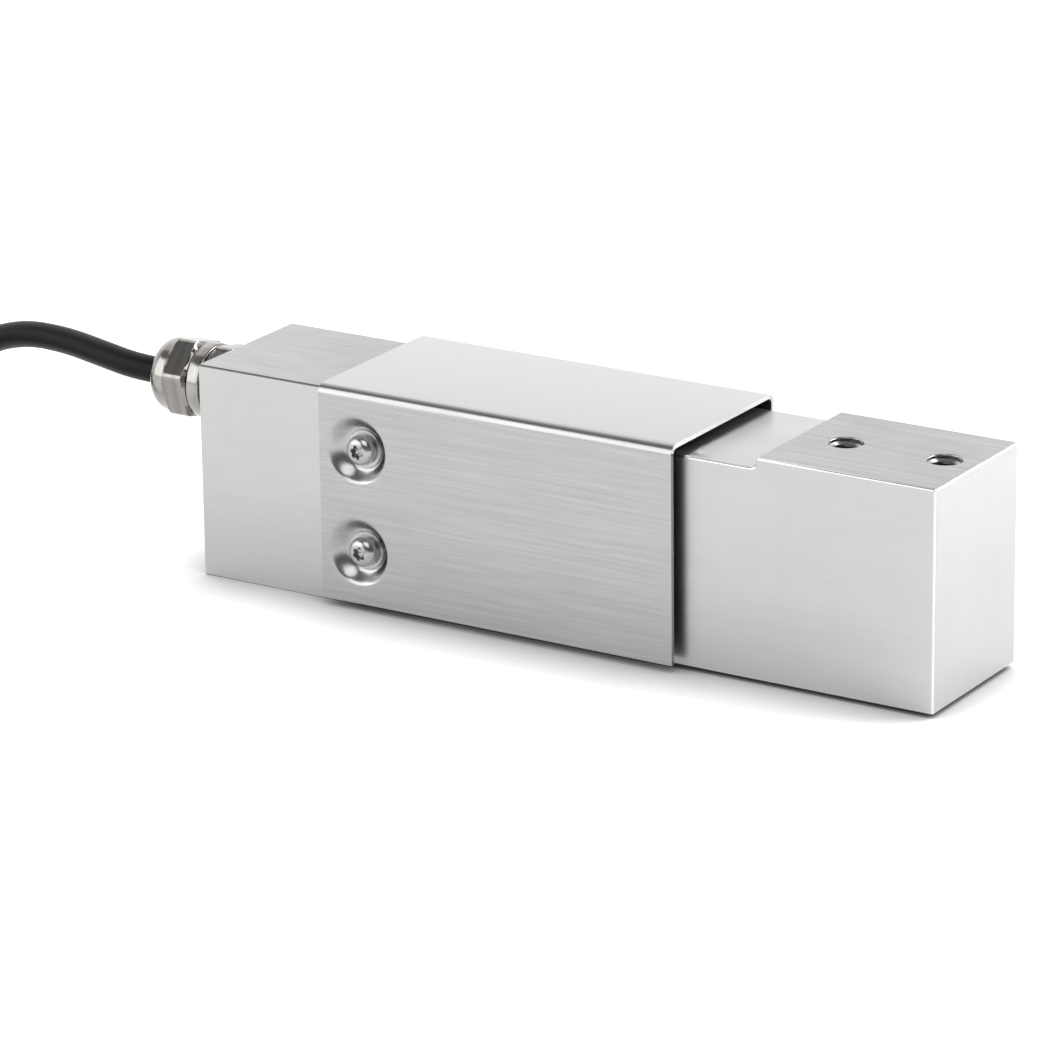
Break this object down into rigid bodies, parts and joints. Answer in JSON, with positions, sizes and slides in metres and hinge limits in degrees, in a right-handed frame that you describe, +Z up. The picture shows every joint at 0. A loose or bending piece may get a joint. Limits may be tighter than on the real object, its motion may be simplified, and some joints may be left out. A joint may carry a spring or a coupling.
{
  "type": "load cell",
  "caption": "Single point load cell: a binocular aluminium beam under a folded protective cover, with tapped ends, a cable gland and a tied signal cable.",
  "frame": {"origin": "centre of the footprint of the body and its cover, at the fixed end's mounting pad", "axes": "+X along the beam from the fixed (cable) end to the live end, +Z up towards the platform pad"},
  "size_m": [0.3425, 0.0513, 0.0414],
  "materials": {
    "body_aluminium": "fine milled, clear",
    "cover_aluminium": "satin sheet",
    "screw_steel": "bright",
    "washer_steel": "bright",
    "gland_nickel": "nickel plated",
    "seal_rubber": "matte",
    "insert_rubber": "matte",
    "clamp_plastic": "matte",
    "cable_jacket": "satin",
    "tie_plastic": "satin",
    "sleeve_plastic": "satin",
    "gauge_foil": "film",
    "compound_silicone": "matte",
    "board_laminate": "satin",
    "core_red": "satin",
    "core_black": "satin",
    "core_green": "satin",
    "core_white": "satin",
    "ferrule_tin": "tinned",
    "drain_copper": "tinned"
  },
  "bodies": {
    "root": {"spring_body": "body_aluminium", "protective_cover": "cover_aluminium", "cover_screw_1": "screw_steel", "cover_screw_2": "screw_steel", "cover_screw_3": "screw_steel", "cover_screw_4": "screw_steel", "cover_washer_1": "washer_steel", "cover_washer_2": "washer_steel", "cover_washer_3": "washer_steel", "cover_washer_4": "washer_steel", "gland_seal": "seal_rubber", "gland_body": "gland_nickel", "gland_insert": "insert_rubber", "gland_clamp": "clamp_plastic", "gland_cap_nut": "gland_nickel", "strain_gauge_upper_fixed": "gauge_foil", "strain_gauge_upper_live": "gauge_foil", "strain_gauge_lower_fixed": "gauge_foil", "strain_gauge_lower_live": "gauge_foil", "sealing_compound_upper": "compound_silicone", "sealing_compound_lower": "compound_silicone", "terminal_board": "board_laminate", "cable_inner_end": "cable_jacket", "inner_core_1": "core_red", "inner_core_2": "core_black", "inner_core_3": "core_green", "inner_core_4": "core_white", "signal_cable": "cable_jacket", "cable_hank": "cable_jacket", "cable_tie_1": "tie_plastic", "cable_tie_2": "tie_plastic", "cable_tail": "cable_jacket", "end_sleeve": "sleeve_plastic", "shield_drain": "drain_copper", "core_red": "core_red", "core_black": "core_black", "core_green": "core_green", "core_white": "core_white", "ferrule_red": "ferrule_tin", "ferrule_black": "ferrule_tin", "ferrule_green": "ferrule_tin", "ferrule_white": "ferrule_tin"}
  },
  "joints": []
}
